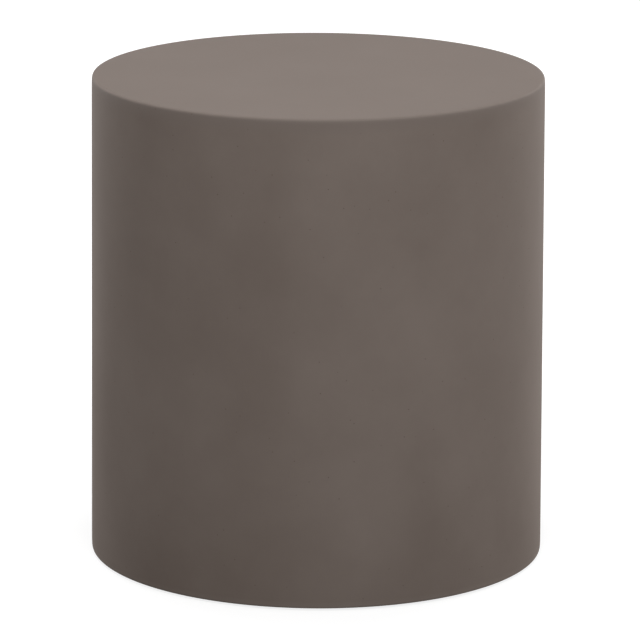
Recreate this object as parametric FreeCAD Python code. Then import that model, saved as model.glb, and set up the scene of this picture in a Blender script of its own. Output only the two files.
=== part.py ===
# Round drum side table. The drum is one hollow casting of glass-fibre reinforced concrete: a flat deck and
# a wall with a little draft, open underneath. Lugs inside the rim hold cast-in threaded sockets, and a
# levelling foot screws into each one.
# Millimetres, +Z up. The origin is on the floor, on the drum's axis, with the feet screwed home.
import FreeCAD
import Part

import math
import os

# Drum casting
table_height = 460.0  # floor to table top
rim_diameter = 430.0  # outside of the wall at the rim, where it is widest
draft_deg = 0.3  # lean of the outside, so that the drum leaves its mould
floor_gap = 2.0  # daylight under the rim
rim_wall = 15.0  # wall thickness at the rim
shoulder_wall = 18.0  # wall thickness level with the deck's underside
deck_thickness = 22.0
top_arris_radius = 4.0
rim_arris_radius = 5.0
rim_inner_arris_radius = 3.0
cove_radius = 24.0  # inside corner between wall and deck

# Lugs cast inside the rim
foot_count = 4
foot_inset = 30.0  # from the inner wall at the rim to a foot's axis
lug_cover = 9.0  # concrete round a socket's flange
socket_cover = 10.0  # concrete over a socket's closed end
lug_flare_radius = 14.0  # blend between a lug's sides and the wall
lug_slope_deg = 45.0  # rise of a lug's upper face towards the wall
lug_root_share = 0.5  # how far a lug's root reaches into the wall, as a share of its thickness

# Threaded sockets cast into the lugs
thread_diameter = 8.0
thread_clearance = 0.1  # radial, between stud and socket
socket_length = 32.0
socket_wall = 2.4
socket_end_wall = 3.0  # the closed end keeps wet concrete out of the thread
socket_flange_width = 3.5  # flange beyond the socket's body
socket_flange_thickness = 1.6
socket_anchor_width = 2.0  # anchor collar beyond the socket's body
socket_anchor_height = 4.0
socket_mouth_chamfer = 0.8

# Studs of the levelling feet
stud_tip_clearance = 2.5  # from a stud's tip to the end of its socket
stud_tip_chamfer = 1.0
stop_clearance = 0.3  # from the hex collar to the socket when the foot is home
hex_sides = 6
hex_across_flats = 13.0
hex_height = 5.0
hex_chamfer = 0.9  # how far the chamfer cuts in at the corners
hex_chamfer_deg = 30.0
head_overlap = 2.2  # riveted head beyond the stud's neck
head_thickness = 2.5
head_edge_radius = 0.6

# Glide bases of the levelling feet
base_diameter = 34.0
base_edge_height = 4.0
base_edge_radius = 1.8
base_foot_radius = 0.6
base_edge_wall = 2.0  # lip round the sole
hub_land = 2.0  # flat hub top beyond the hex's corners
hub_thickness = 5.0  # hub over the stud's head
hub_edge_radius = 1.2
turn_clearance = 0.2  # between stud and base, all round

# Soles of the levelling feet
sole_thickness = 3.0
sole_proud = 1.0  # how far a sole stands below its base
sole_clearance = 0.2  # radial, in the base's recess
sole_edge_radius = 0.5

# Heights above the floor that the levelling foot's own pieces set
head_bottom = sole_thickness + turn_clearance
hub_bottom = head_bottom + head_thickness + turn_clearance
hub_top = hub_bottom + hub_thickness
hex_bottom = hub_top + turn_clearance
hex_top = hex_bottom + hex_height
lug_bottom = hex_top + stop_clearance

# Radii that follow from the thread and the drum
thread_radius = thread_diameter / 2
socket_bore_radius = thread_radius + thread_clearance
socket_body_radius = socket_bore_radius + socket_wall
socket_flange_radius = socket_body_radius + socket_flange_width
lug_nose_radius = socket_flange_radius + lug_cover
hex_corner_radius = hex_across_flats / 2 / math.cos(math.pi / hex_sides)
head_radius = thread_radius + head_overlap
base_radius = base_diameter / 2
recess_radius = base_radius - base_edge_wall
rim_inner_radius = rim_diameter / 2 - rim_wall
foot_circle_radius = rim_inner_radius - foot_inset
deck_underside = table_height - deck_thickness


def outer_radius(height):
    """Outside radius of the drum's wall at a height above the floor."""
    return rim_diameter / 2 - (height - floor_gap) * math.tan(math.radians(draft_deg))


def revolve(corners):
    """A solid of revolution about Z from (radius, height, rounding) corners, rounded by tangent arcs."""
    points = [FreeCAD.Vector(radius, 0, height) for radius, height, _ in corners]
    starts, ends, edges = [], [], []
    for i, (point, (_, _, rounding)) in enumerate(zip(points, corners)):
        back = (points[i - 1] - point).normalize()
        ahead = (points[(i + 1) % len(points)] - point).normalize()
        half_angle = back.getAngle(ahead) / 2
        reach = rounding / math.tan(half_angle)
        starts.append(point + back * reach)
        ends.append(point + ahead * reach)
        if rounding:
            inward = (back + ahead).normalize()
            middle = point + inward * (rounding / math.sin(half_angle) - rounding)
            edges.append(Part.Arc(starts[i], middle, ends[i]).toShape())
    for i, end in enumerate(ends):
        edges.append(Part.LineSegment(end, starts[(i + 1) % len(starts)]).toShape())
    face = Part.Face(Part.Wire(Part.sortEdges(edges)[0]))
    return face.revolve(FreeCAD.Vector(), FreeCAD.Vector(0, 0, 1), 360)


def at_foot(shape, index):
    """A copy of a shape made about the origin, moved out to a foot's axis and turned to face the wall."""
    placed = shape.copy()
    placed.translate(FreeCAD.Vector(foot_circle_radius, 0, 0))
    placed.rotate(FreeCAD.Vector(), FreeCAD.Vector(0, 0, 1), 360 * index / foot_count)
    return placed


def socket_corners(bored):
    """Half section of a cast-in socket, with its thread's bore or as the plain space that it fills."""
    top = lug_bottom + socket_length
    bore_end = top - socket_end_wall
    anchor_bottom = top - socket_anchor_height
    anchor_radius = socket_body_radius + socket_anchor_width
    outside = [
        (socket_flange_radius, lug_bottom, 0),
        (socket_flange_radius, lug_bottom + socket_flange_thickness, 0),
        (socket_body_radius, lug_bottom + socket_flange_thickness, 0),
        (socket_body_radius, anchor_bottom, 0),
        (anchor_radius, anchor_bottom, 0),
        (anchor_radius, top, 0),
        (0, top, 0),
    ]
    bore = [
        (0, bore_end, 0),
        (socket_bore_radius, bore_end, 0),
        (socket_bore_radius, lug_bottom + socket_mouth_chamfer, 0),
        (socket_bore_radius + socket_mouth_chamfer, lug_bottom, 0),
    ]
    return outside + (bore if bored else [(0, lug_bottom, 0)])


def lug_plan(root_radius):
    """Outline of a lug from below: a round nose, straight sides, and flares tangent to sides and wall."""
    flare_y = lug_nose_radius + lug_flare_radius
    flare_x = math.sqrt((rim_inner_radius - lug_flare_radius) ** 2 - flare_y**2)
    flare_angle = math.atan2(flare_y, flare_x)
    middle_angle = (flare_angle - math.pi / 2) / 2
    edges = []
    root_ends = []
    for side in (1, -1):
        shoulder = FreeCAD.Vector(foot_circle_radius, side * lug_nose_radius, lug_bottom)
        flare_start = FreeCAD.Vector(flare_x, side * lug_nose_radius, lug_bottom)
        flare_middle = FreeCAD.Vector(
            flare_x + lug_flare_radius * math.cos(middle_angle),
            side * (flare_y + lug_flare_radius * math.sin(middle_angle)),
            lug_bottom,
        )
        cosine = math.cos(flare_angle)
        sine = side * math.sin(flare_angle)
        flare_end = FreeCAD.Vector(rim_inner_radius * cosine, rim_inner_radius * sine, lug_bottom)
        root_end = FreeCAD.Vector(root_radius * cosine, root_radius * sine, lug_bottom)
        edges.append(Part.LineSegment(shoulder, flare_start).toShape())
        edges.append(Part.Arc(flare_start, flare_middle, flare_end).toShape())
        edges.append(Part.LineSegment(flare_end, root_end).toShape())
        root_ends.append(root_end)
    nose_tip = FreeCAD.Vector(foot_circle_radius - lug_nose_radius, 0, lug_bottom)
    nose_sides = [FreeCAD.Vector(foot_circle_radius, side * lug_nose_radius, lug_bottom) for side in (1, -1)]
    edges.append(Part.Arc(nose_sides[0], nose_tip, nose_sides[1]).toShape())
    edges.append(Part.Arc(root_ends[0], FreeCAD.Vector(root_radius, 0, lug_bottom), root_ends[1]).toShape())
    return Part.Face(Part.Wire(Part.sortEdges(edges)[0]))


def lug():
    """One lug on the +X side: its plan under a face that slopes up to the wall, less its socket's space."""
    root_radius = rim_inner_radius + rim_wall * lug_root_share
    nose = foot_circle_radius - lug_nose_radius
    nose_top = lug_bottom + socket_length + socket_cover
    root_top = nose_top + (root_radius - nose) * math.tan(math.radians(lug_slope_deg))
    block = lug_plan(root_radius).extrude(FreeCAD.Vector(0, 0, root_top - lug_bottom))
    side = [(nose, lug_bottom), (nose, nose_top), (root_radius, root_top), (root_radius, lug_bottom)]
    width = root_radius
    corners = [FreeCAD.Vector(x, -width, z) for x, z in side]
    profile = Part.Face(Part.makePolygon(corners + corners[:1]))
    body = block.common(profile.extrude(FreeCAD.Vector(0, 2 * width, 0)))
    space = revolve(socket_corners(bored=False))
    space.translate(FreeCAD.Vector(foot_circle_radius, 0, 0))
    return body.cut(space)


def drum_shell():
    """The concrete casting: wall, deck and lugs in one solid."""
    shoulder_radius = outer_radius(deck_underside) - shoulder_wall
    shell = revolve(
        [
            (0, deck_underside, 0),
            (shoulder_radius, deck_underside, cove_radius),
            (rim_inner_radius, floor_gap, rim_inner_arris_radius),
            (rim_diameter / 2, floor_gap, rim_arris_radius),
            (outer_radius(table_height), table_height, top_arris_radius),
            (0, table_height, 0),
        ]
    )
    one_lug = lug()
    lugs = []
    for index in range(foot_count):
        placed = one_lug.copy()
        placed.rotate(FreeCAD.Vector(), FreeCAD.Vector(0, 0, 1), 360 * index / foot_count)
        lugs.append(placed)
    return shell.fuse(lugs).removeSplitter()


def threaded_socket():
    """A brass socket: closed end, flange at its mouth, and a collar that anchors it in the concrete."""
    return revolve(socket_corners(bored=True))


def hex_collar():
    """The spanner's hexagon on a stud, with its corners chamfered above and below."""
    corners = []
    for step in range(hex_sides):
        angle = 2 * math.pi * step / hex_sides
        x = hex_corner_radius * math.cos(angle)
        y = hex_corner_radius * math.sin(angle)
        corners.append(FreeCAD.Vector(x, y, hex_bottom))
    prism = Part.Face(Part.makePolygon(corners + corners[:1])).extrude(FreeCAD.Vector(0, 0, hex_height))
    face_radius = hex_corner_radius - hex_chamfer
    chamfer_height = hex_chamfer * math.tan(math.radians(hex_chamfer_deg))
    limit = revolve(
        [
            (0, hex_bottom, 0),
            (face_radius, hex_bottom, 0),
            (hex_corner_radius, hex_bottom + chamfer_height, 0),
            (hex_corner_radius, hex_top - chamfer_height, 0),
            (face_radius, hex_top, 0),
            (0, hex_top, 0),
        ]
    )
    return prism.common(limit)


def levelling_stud():
    """A steel stud: threaded stem, hex collar, and a neck whose head is riveted over inside the base."""
    tip = lug_bottom + socket_length - socket_end_wall - stud_tip_clearance
    stem = revolve(
        [
            (0, head_bottom, 0),
            (head_radius, head_bottom, head_edge_radius),
            (head_radius, head_bottom + head_thickness, 0),
            (thread_radius, head_bottom + head_thickness, 0),
            (thread_radius, tip - stud_tip_chamfer, 0),
            (thread_radius - stud_tip_chamfer, tip, 0),
            (0, tip, 0),
        ]
    )
    return stem.fuse(hex_collar()).removeSplitter()


def glide_base():
    """A moulded base that the stud turns in, with a recess below for the sole."""
    hub_radius = hex_corner_radius + hub_land
    hole_radius = thread_radius + turn_clearance
    counterbore_radius = head_radius + turn_clearance
    edge_top = sole_proud + base_edge_height
    return revolve(
        [
            (hole_radius, hub_top, 0),
            (hub_radius, hub_top, hub_edge_radius),
            (base_radius, edge_top, base_edge_radius),
            (base_radius, sole_proud, base_foot_radius),
            (recess_radius, sole_proud, 0),
            (recess_radius, sole_thickness, 0),
            (counterbore_radius, sole_thickness, 0),
            (counterbore_radius, hub_bottom, 0),
            (hole_radius, hub_bottom, 0),
        ]
    )


def sole_pad():
    """A rubber disc bonded into the base's recess."""
    radius = recess_radius - sole_clearance
    return revolve(
        [
            (0, 0, 0),
            (radius, 0, sole_edge_radius),
            (radius, sole_thickness, 0),
            (0, sole_thickness, 0),
        ]
    )


def main():
    """Builds every piece and writes each one to its own STEP file."""
    os.makedirs("parts", exist_ok=True)
    nodes = {"drum_shell": drum_shell()}
    foot_pieces = {
        "threaded_socket": threaded_socket(),
        "levelling_stud": levelling_stud(),
        "glide_base": glide_base(),
        "sole_pad": sole_pad(),
    }
    for index in range(foot_count):
        for name, shape in foot_pieces.items():
            nodes[f"{name}_{index + 1}"] = at_foot(shape, index)
    for name, shape in nodes.items():
        shape.exportStep(os.path.join("parts", name + ".step"))
        print(name, "solids", len(shape.Solids), "valid", shape.isValid(), "volume", round(shape.Volume, 1))


if __name__ == "__main__":
    main()
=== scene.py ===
"""Round drum side table: one hollow concrete casting on four levelling feet, and the studio that shows it."""

import logging
import math
import random
from collections.abc import Callable, Sequence
from dataclasses import dataclass, replace
from enum import Enum
from itertools import pairwise
from typing import Any

import bmesh
import bpy
from mathutils import Matrix, Vector


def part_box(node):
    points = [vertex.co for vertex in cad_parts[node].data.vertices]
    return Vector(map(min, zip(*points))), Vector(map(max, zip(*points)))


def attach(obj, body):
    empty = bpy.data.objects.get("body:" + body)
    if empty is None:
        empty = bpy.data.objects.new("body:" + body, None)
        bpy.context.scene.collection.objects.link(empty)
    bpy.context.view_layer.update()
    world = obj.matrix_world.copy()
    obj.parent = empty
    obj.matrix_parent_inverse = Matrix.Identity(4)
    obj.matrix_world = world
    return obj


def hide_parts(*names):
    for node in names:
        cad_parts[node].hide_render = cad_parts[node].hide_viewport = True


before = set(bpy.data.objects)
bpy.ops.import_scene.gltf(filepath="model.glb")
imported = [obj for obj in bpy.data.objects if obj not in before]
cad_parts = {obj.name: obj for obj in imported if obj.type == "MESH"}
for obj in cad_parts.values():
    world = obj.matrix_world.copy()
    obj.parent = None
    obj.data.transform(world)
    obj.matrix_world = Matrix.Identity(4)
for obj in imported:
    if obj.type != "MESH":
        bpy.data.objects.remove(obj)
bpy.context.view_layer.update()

MM = 0.001  # one millimetre in the scene's metres
WELD = 2e-6  # points closer than this are one point
NEAR = 1 * MM  # what is closer than this to a ring, a side or a level belongs to it
OVERRUN = 1 * MM  # how far a trimming solid stands past what it leaves alone
LATHE = "lathe_place"  # attribute that holds a point's place about its piece's own axis
WAVE_TURN = math.tau / 20  # a wave texture of scale 1 repeats after this length
NOISE_LOW, NOISE_HIGH = 0.3, 0.7  # most of a noise texture's values lie between these
LEVEL = 0.9  # a face is level if its normal has at least this share of the upright
FACING = 0.5  # and it faces a way if its normal has at least this share of that way

log = logging.getLogger("drum_table")


class Slot(Enum):
    """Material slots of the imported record."""

    CONCRETE = "concrete"
    BRASS = "brass"
    STEEL = "zinc_steel"
    NYLON = "nylon"
    RUBBER = "rubber"


class Element(Enum):
    """The kinds of mesh element that can be picked."""

    VERTEX = "VERT"
    EDGE = "EDGE"
    FACE = "FACE"


class Combine(Enum):
    """What another solid does to a piece."""

    JOIN = "UNION"
    CUT = "DIFFERENCE"
    TRIM = "INTERSECT"


class CastFace(Enum):
    """The two sides of the casting, in the order of its material slots."""

    SEALED = 0
    RAW = 1


# Materials


def linear(hex_colour: str) -> tuple[float, float, float, float]:
    """Turns an sRGB colour into the linear colour that a shader takes.

    Args:
        hex_colour: the colour as "#RRGGBB".

    Returns:
        Linear red, green and blue, and an alpha of 1.
    """
    channels = [int(hex_colour[at : at + 2], 16) / 255 for at in (1, 3, 5)]
    red, green, blue = (c / 12.92 if c <= 0.04045 else ((c + 0.055) / 1.055) ** 2.4 for c in channels)
    return red, green, blue, 1.0


def per_mm(size_mm: float) -> float:
    """Scale of a noise or cell pattern whose features are about size_mm millimetres across."""
    return 1 / (size_mm * MM)


def add_node(
    tree: bpy.types.NodeTree, kind: str, inputs: dict[str | int, Any] | None = None, **settings: Any
) -> bpy.types.Node:
    """Adds a shader node, sets it and links it.

    Args:
        tree: the node tree that gets the node.
        kind: the node's type, without its ShaderNode prefix.
        inputs: values and output sockets for its inputs, by name or number.
        settings: the node's own properties.

    Returns:
        The new node.
    """
    node = tree.nodes.new("ShaderNode" + kind)
    for name, value in settings.items():
        setattr(node, name, value)
    for name, value in (inputs or {}).items():
        if isinstance(value, bpy.types.NodeSocket):
            tree.links.new(value, node.inputs[name])
        else:
            node.inputs[name].default_value = value
    return node


def new_material(name: str) -> tuple[bpy.types.Material, bpy.types.NodeTree]:
    """Starts an empty node material.

    Args:
        name: the material's name.

    Returns:
        The material and its cleared node tree.
    """
    material = bpy.data.materials.new(name)
    material.use_nodes = True
    material.node_tree.nodes.clear()
    return material, material.node_tree


@dataclass(frozen=True)
class Relief:
    """A finish's fine relief, too small to model."""

    depth_mm: float
    strength: float


def close_surface(
    tree: bpy.types.NodeTree, relief: Relief, height: bpy.types.NodeSocket, looks: dict[str, Any]
) -> None:
    """Ends a material with its relief, its shader and its output.

    Args:
        tree: the material's node tree.
        relief: how deep the relief is, and how strongly it shows.
        height: the socket that draws the relief.
        looks: values and output sockets for the shader's inputs, by name.
    """
    distance = relief.depth_mm * MM
    bump = add_node(tree, "Bump", {"Height": height, "Strength": relief.strength, "Distance": distance})
    shader = add_node(tree, "BsdfPrincipled", {**looks, "Normal": bump.outputs[0]})
    add_node(tree, "OutputMaterial", {"Surface": shader.outputs[0]})


@dataclass(frozen=True)
class SealedCastConcrete:
    """Glass-fibre concrete cast in a smooth mould and sealed matt: soft drifts, fine grain, few pores;
    painted shade darkens the rim, the pores and part of the drifts, and painted sheen greys the deck.
    """

    deck_height: float  # of the deck, which was cast on the mould's level floor
    rim_height: float  # of the rim, towards which the wall darkens as painted shade
    dark_hex: str = "#726760"
    light_hex: str = "#7D726B"
    deck_and_sheen_hex: str = "#766C66"  # the deck set level, so it is more even; it is also a little greyer, which is painted sheen: the white that the grazing top reflects
    # Pores are drawn in this darker colour: painted shade in the pits.
    pore_shade_hex: str = "#5F554E"
    roughness: float = 0.8
    roughness_change: float = 0.05  # either way, with the clouds
    specular_level: float = 0.1  # the sealer is so matt that next to nothing glances off the sides
    relief: Relief = Relief(depth_mm=0.12, strength=0.25)
    mid_tone: float = 0.45  # of the plain wall, where dark is 0 and light is 1
    drift_and_shade_mm: float = 120.0  # drifts of pigment and water, which also hold painted shade: their patches stand in for part of the wall's broad light and shade
    drift_and_shade_seed: float = 15.0
    drift_and_shade_depth: float = 2.2  # how far the drifts' whole range moves the tone
    run_down: float = 0.5  # a drift's width against its length: the mix runs down the mould's wall
    mottle_mm: float = 64.0  # clouds where the paste set at its own pace
    mottle_seed: float = 81.0
    mottle_depth: float = 1.5
    grain_mm: float = 1.5  # sand grains, drawn coarser than real so that they show
    grain_depth: float = 0.1
    deck_share: float = 0.15  # how much of the wall's colour and its drifts is left on the deck
    deck_fade_mm: float = 15.0
    rim_painted_shade: float = -0.3  # how far the tone falls at the rim: painted shade near the floor
    rim_shade_fade_mm: float = 85.0
    rubbed_tone: float = 0.9  # how far it rises again on the rim's arris, which is rubbed pale
    rubbed_mm: float = 7.0
    pore_spacing_mm: float = 11.0
    pore_share: float = 0.03  # a pore's radius, as a share of the spacing
    pore_fade_share: float = 0.06  # where its edge has faded out

    def make(self) -> bpy.types.Material:
        """Builds the material.

        Returns:
            The finished material.
        """
        material, tree = new_material("sealed_cast_glass_fibre_concrete")
        place = add_node(tree, "TexCoord").outputs["Object"]
        mottle = add_node(
            tree,
            "TexNoise",
            {
                "Vector": place,
                "W": self.mottle_seed,
                "Scale": per_mm(self.mottle_mm),
                "Detail": 6.0,
                "Roughness": 0.6,
            },
            noise_dimensions="4D",
        )
        grain = add_node(tree, "TexNoise", {"Vector": place, "Scale": per_mm(self.grain_mm), "Detail": 2.0})
        paste = self.colour_paste(tree, place, mottle.outputs["Fac"], grain.outputs["Fac"])
        pores = add_node(tree, "TexVoronoi", {"Vector": place, "Scale": per_mm(self.pore_spacing_mm)})
        pore = add_node(
            tree,
            "MapRange",
            {
                "Value": pores.outputs["Distance"],
                "From Min": self.pore_share,
                "From Max": self.pore_fade_share,
                "To Min": 1.0,
                "To Max": 0.0,
            },
        )
        # Pores take the darker colour: painted shade in the pits.
        colour = add_node(
            tree, "Mix", {0: pore.outputs[0], 6: paste, 7: linear(self.pore_shade_hex)}, data_type="RGBA"
        )
        sheen = add_node(
            tree,
            "MapRange",
            {
                "Value": mottle.outputs["Fac"],
                "From Min": NOISE_LOW,
                "From Max": NOISE_HIGH,
                "To Min": self.roughness - self.roughness_change,
                "To Max": self.roughness + self.roughness_change,
            },
        )
        pitted = add_node(
            tree, "Math", {0: grain.outputs["Fac"], 1: pore.outputs[0]}, operation="SUBTRACT"
        )
        looks = {
            "Base Color": colour.outputs[2],
            "Roughness": sheen.outputs[0],
            "Specular IOR Level": self.specular_level,
        }
        close_surface(tree, self.relief, pitted.outputs[0], looks)
        return material

    def colour_paste(
        self,
        tree: bpy.types.NodeTree,
        place: bpy.types.NodeSocket,
        mottle: bpy.types.NodeSocket,
        grain: bpy.types.NodeSocket,
    ) -> bpy.types.NodeSocket:
        """Colours the paste with drifts, clouds and grain, which are much fainter on the deck; the drifts
        hold painted shade in part, the deck's greyer colour is painted sheen, and the wall darkens to the rim
        as painted shade.

        Args:
            tree: the material's node tree.
            place: the point on the casting.
            mottle: the clouds' pattern.
            grain: the sand's pattern.

        Returns:
            The socket of the paste's colour.
        """
        stretch = (1.0, 1.0, self.run_down)
        drawn_out = add_node(tree, "Mapping", {"Vector": place, "Scale": stretch}).outputs[0]
        # The drifts are partly painted shade: their dark and light patches stand in for part of the wall's
        # broad light and shade.
        drift = add_node(
            tree,
            "TexNoise",
            {"Vector": drawn_out, "W": self.drift_and_shade_seed, "Scale": per_mm(self.drift_and_shade_mm), "Detail": 1.0},
            noise_dimensions="4D",
        )
        # Both patterns lie about a half, so half of their depths comes off and they move the tone both ways.
        middle = (self.drift_and_shade_depth + self.mottle_depth) / 2
        clouds = add_node(
            tree, "Math", {0: mottle, 1: self.mottle_depth, 2: -middle}, operation="MULTIPLY_ADD"
        )
        spread = add_node(
            tree,
            "Math",
            {0: drift.outputs["Fac"], 1: self.drift_and_shade_depth, 2: clouds.outputs[0]},
            operation="MULTIPLY_ADD",
        )
        height = add_node(tree, "SeparateXYZ", {0: place}).outputs["Z"]
        # The plain tone falls towards the rim as painted shade.
        plain = self.shaded_tone_by_height(tree, height)
        drifted = add_node(tree, "Math", {0: spread.outputs[0], 1: plain}, operation="ADD")
        grained = add_node(
            tree,
            "Math",
            {0: grain, 1: self.grain_depth, 2: drifted.outputs[0]},
            operation="MULTIPLY_ADD",
        )
        body = add_node(
            tree,
            "Mix",
            {0: grained.outputs[0], 6: linear(self.dark_hex), 7: linear(self.light_hex)},
            data_type="RGBA",
            clamp_factor=False,
        )
        wall = add_node(
            tree,
            "MapRange",
            {
                "Value": height,
                "From Min": self.deck_height - self.deck_fade_mm * MM,
                "From Max": self.deck_height,
                "To Min": 1.0,
                "To Max": self.deck_share,
            },
        )
        # The deck's greyer colour is painted sheen: the white that the grazing top would reflect.
        evened_with_sheen = add_node(
            tree,
            "Mix",
            {0: wall.outputs[0], 6: linear(self.deck_and_sheen_hex), 7: body.outputs[2]},
            data_type="RGBA",
        )
        return evened_with_sheen.outputs[2]

    def shaded_tone_by_height(
        self, tree: bpy.types.NodeTree, height: bpy.types.NodeSocket
    ) -> bpy.types.NodeSocket:
        """Sets the plain wall's tone, which falls towards the rim as painted shade and rises on the rim's
        rubbed arris.

        Args:
            tree: the material's node tree.
            height: the point's height.

        Returns:
            The socket of the tone.
        """
        # Painted shade: the tone falls towards the rim, near the floor.
        rim = add_node(
            tree,
            "MapRange",
            {
                "Value": height,
                "From Min": self.rim_height,
                "From Max": self.rim_height + self.rim_shade_fade_mm * MM,
                "To Min": self.mid_tone + self.rim_painted_shade,
                "To Max": self.mid_tone,
            },
            interpolation_type="SMOOTHSTEP",
        )
        rubbed = add_node(
            tree,
            "MapRange",
            {
                "Value": height,
                "From Min": self.rim_height,
                "From Max": self.rim_height + self.rubbed_mm * MM,
                "To Min": self.rubbed_tone,
                "To Max": 0.0,
            },
        )
        rim_shade_and_rubbed = add_node(tree, "Math", {0: rim.outputs[0], 1: rubbed.outputs[0]}, operation="ADD")
        return rim_shade_and_rubbed.outputs[0]


@dataclass(frozen=True)
class RawCastConcrete:
    """The casting's back, rolled by hand and never sealed: paler, dusty, with fibre bundles in its skin."""

    dark_hex: str = "#857C75"
    light_hex: str = "#A39A93"
    fibre_hex: str = "#B7B0A8"
    roughness: float = 0.93
    specular_level: float = 0.25
    relief: Relief = Relief(depth_mm=0.6, strength=0.7)
    patch_mm: float = 60.0
    lump_mm: float = 7.0
    fibre_mm: float = 1.6  # width of a fibre bundle, drawn coarser than real so that it shows
    fibre_stretch: float = 18.0  # bundles are this much longer than wide
    fibre_start: float = 0.74  # noise value at which a bundle shows
    fibre_full: float = 0.8  # and at which it hides the concrete
    fibre_height: float = 0.35  # of a bundle, against a lump's
    fibre_lays: tuple[tuple[float, float], ...] = (
        (0.0, 0.0),
        (90.0, 10.0),
        (90.0, 70.0),
        (90.0, 130.0),
        (50.0, 30.0),
        (50.0, 150.0),
        (50.0, 270.0),
    )  # how each lay of bundles leans from upright, and which way, in degrees

    def make(self) -> bpy.types.Material:
        """Builds the material.

        Returns:
            The finished material.
        """
        material, tree = new_material("raw_cast_glass_fibre_concrete")
        place = add_node(tree, "TexCoord").outputs["Object"]
        patch = add_node(tree, "TexNoise", {"Vector": place, "Scale": per_mm(self.patch_mm), "Detail": 5.0})
        lump = add_node(tree, "TexNoise", {"Vector": place, "Scale": per_mm(self.lump_mm), "Detail": 6.0})
        body = add_node(
            tree,
            "Mix",
            {0: patch.outputs["Fac"], 6: linear(self.dark_hex), 7: linear(self.light_hex)},
            data_type="RGBA",
        )
        strands = self.lay_fibres(tree, place)
        colour = add_node(
            tree, "Mix", {0: strands, 6: body.outputs[2], 7: linear(self.fibre_hex)}, data_type="RGBA"
        )
        lumpy = add_node(
            tree,
            "Math",
            {0: strands, 1: self.fibre_height, 2: lump.outputs["Fac"]},
            operation="MULTIPLY_ADD",
        )
        looks = {
            "Base Color": colour.outputs[2],
            "Roughness": self.roughness,
            "Specular IOR Level": self.specular_level,
        }
        close_surface(tree, self.relief, lumpy.outputs[0], looks)
        return material

    def lay_fibres(self, tree: bpy.types.NodeTree, place: bpy.types.NodeSocket) -> bpy.types.NodeSocket:
        """Lays the chopped fibres every way: a pattern stretched along each lay goes over the last.

        Args:
            tree: the material's node tree.
            place: the point on the casting.

        Returns:
            A socket that is 1 on a bundle of fibres.
        """
        strands = 0.0
        for lean_deg, turn_deg in self.fibre_lays:
            # Each lay is moved far off as well as turned, so that no two of them show the same bundles.
            along = add_node(
                tree,
                "Mapping",
                {
                    "Vector": place,
                    "Location": (lean_deg, turn_deg, 0.0),
                    "Rotation": (math.radians(lean_deg), 0.0, math.radians(turn_deg)),
                    "Scale": (1.0, 1.0, self.fibre_stretch),
                },
                vector_type="TEXTURE",
            )
            thread = add_node(
                tree, "TexNoise", {"Vector": along.outputs[0], "Scale": per_mm(self.fibre_mm), "Detail": 0.0}
            )
            strand = add_node(
                tree,
                "MapRange",
                {"Value": thread.outputs["Fac"], "From Min": self.fibre_start, "From Max": self.fibre_full},
            )
            strands = add_node(
                tree, "Math", {0: strands, 1: strand.outputs[0]}, operation="MAXIMUM"
            ).outputs[0]
        return strands


@dataclass(frozen=True)
class TurnedBrass:
    """Free-cutting brass off an automatic lathe: warm, with fine tool rings and a little tarnish."""

    bright_hex: str = "#D9B978"
    tarnish_hex: str = "#A98349"
    roughness: float = 0.3
    tarnish_dulling: float = 0.2  # how much rougher full tarnish is
    relief: Relief = Relief(depth_mm=0.02, strength=0.3)
    ring_mm: float = 0.5  # feed of the tool, drawn coarser than real so that it shows
    ring_waver: float = 0.6
    patch_mm: float = 5.0
    tarnish_start: float = 0.42  # noise value at which the brass dulls
    tarnish_full: float = 0.7

    def make(self) -> bpy.types.Material:
        """Builds the material.

        Returns:
            The finished material.
        """
        material, tree = new_material("turned_brass")
        place = add_node(tree, "Attribute", attribute_name=LATHE).outputs["Vector"]
        rings = add_node(
            tree,
            "TexWave",
            {
                "Vector": place,
                "Scale": per_mm(self.ring_mm) * WAVE_TURN,
                "Distortion": self.ring_waver,
                "Detail": 1.0,
            },
            wave_type="RINGS",
            rings_direction="Z",
        )
        patch = add_node(tree, "TexNoise", {"Vector": place, "Scale": per_mm(self.patch_mm), "Detail": 4.0})
        tarnish = add_node(
            tree,
            "MapRange",
            {"Value": patch.outputs["Fac"], "From Min": self.tarnish_start, "From Max": self.tarnish_full},
        )
        colour = add_node(
            tree,
            "Mix",
            {0: tarnish.outputs[0], 6: linear(self.bright_hex), 7: linear(self.tarnish_hex)},
            data_type="RGBA",
        )
        dulled = add_node(
            tree,
            "MapRange",
            {
                "Value": tarnish.outputs[0],
                "To Min": self.roughness,
                "To Max": self.roughness + self.tarnish_dulling,
            },
        )
        looks = {"Base Color": colour.outputs[2], "Metallic": 1.0, "Roughness": dulled.outputs[0]}
        close_surface(tree, self.relief, rings.outputs["Fac"], looks)
        return material


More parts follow.
